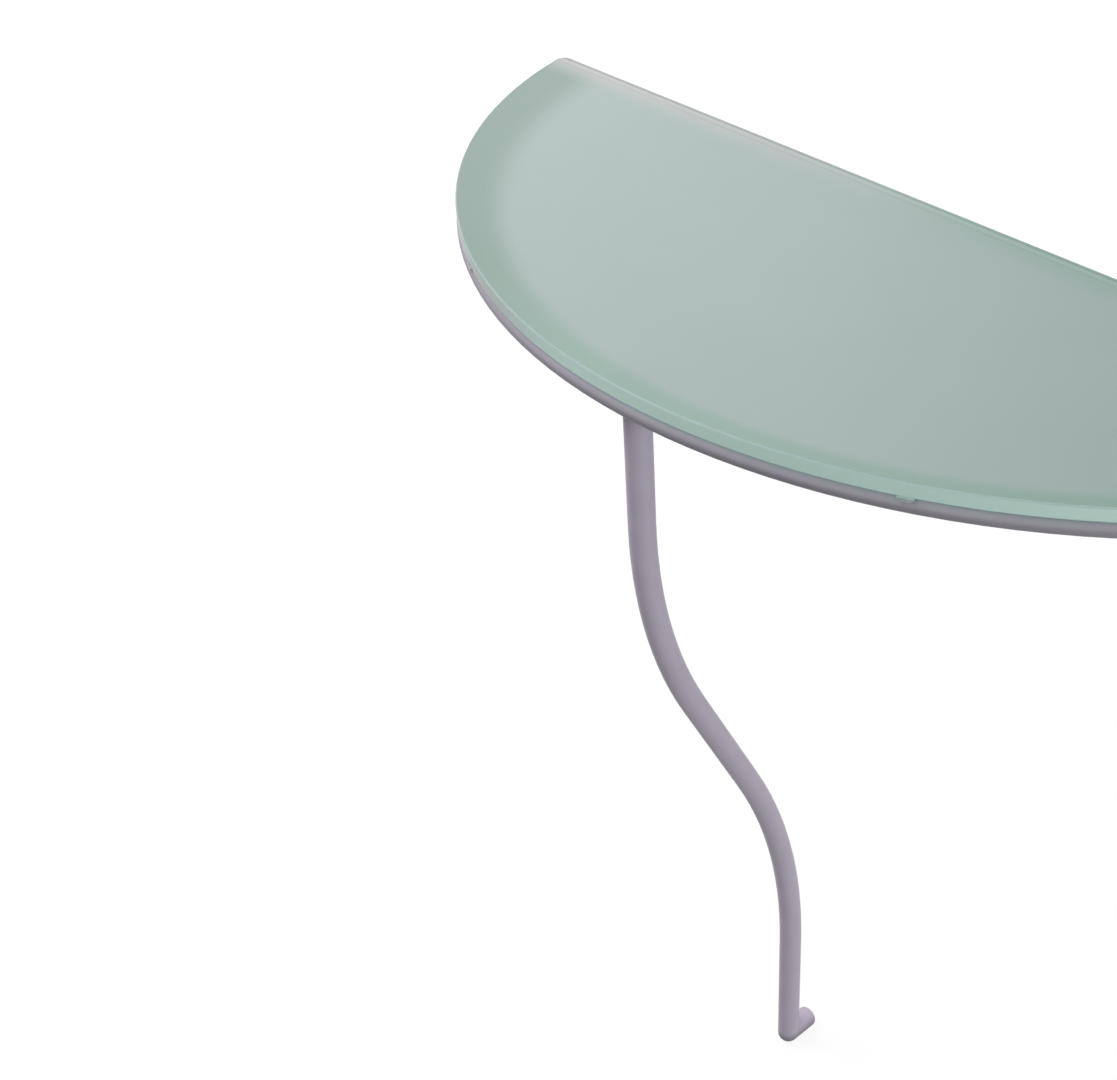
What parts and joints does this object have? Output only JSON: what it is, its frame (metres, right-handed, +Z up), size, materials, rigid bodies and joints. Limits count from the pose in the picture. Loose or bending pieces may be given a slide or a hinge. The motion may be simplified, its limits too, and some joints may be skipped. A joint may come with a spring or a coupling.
{
  "type": "demilune table",
  "caption": "Half-round wall console table: satin green glass on a bent round rim, with an S-curved tubular leg under the front and a screw-on rail along the straight back.",
  "frame": {"origin": "on the floor, under the middle of the table's bounding box", "axes": "+X along the wall, to the right for someone facing the wall; +Y towards the wall; +Z up"},
  "size_m": [0.8492, 0.3203, 0.73],
  "materials": {
    "satin_glass": "satin etched faces, polished edge",
    "frame_paint": "satin lilac-grey powder coat",
    "plated_steel": "bright zinc plate",
    "clear_plastic": "clear soft moulded plastic"
  },
  "bodies": {
    "root": {"glass_top": "satin_glass", "rim_rail": "frame_paint", "wall_rail": "frame_paint", "leg_bracket": "frame_paint", "leg_tube": "frame_paint", "heel_foot": "frame_paint", "leg_insert": "plated_steel", "leg_screw": "plated_steel", "rim_pad_left": "clear_plastic", "rim_pad_right": "clear_plastic", "rail_bumper_left": "clear_plastic", "rail_bumper_middle": "clear_plastic", "rail_bumper_right": "clear_plastic"}
  },
  "joints": []
}
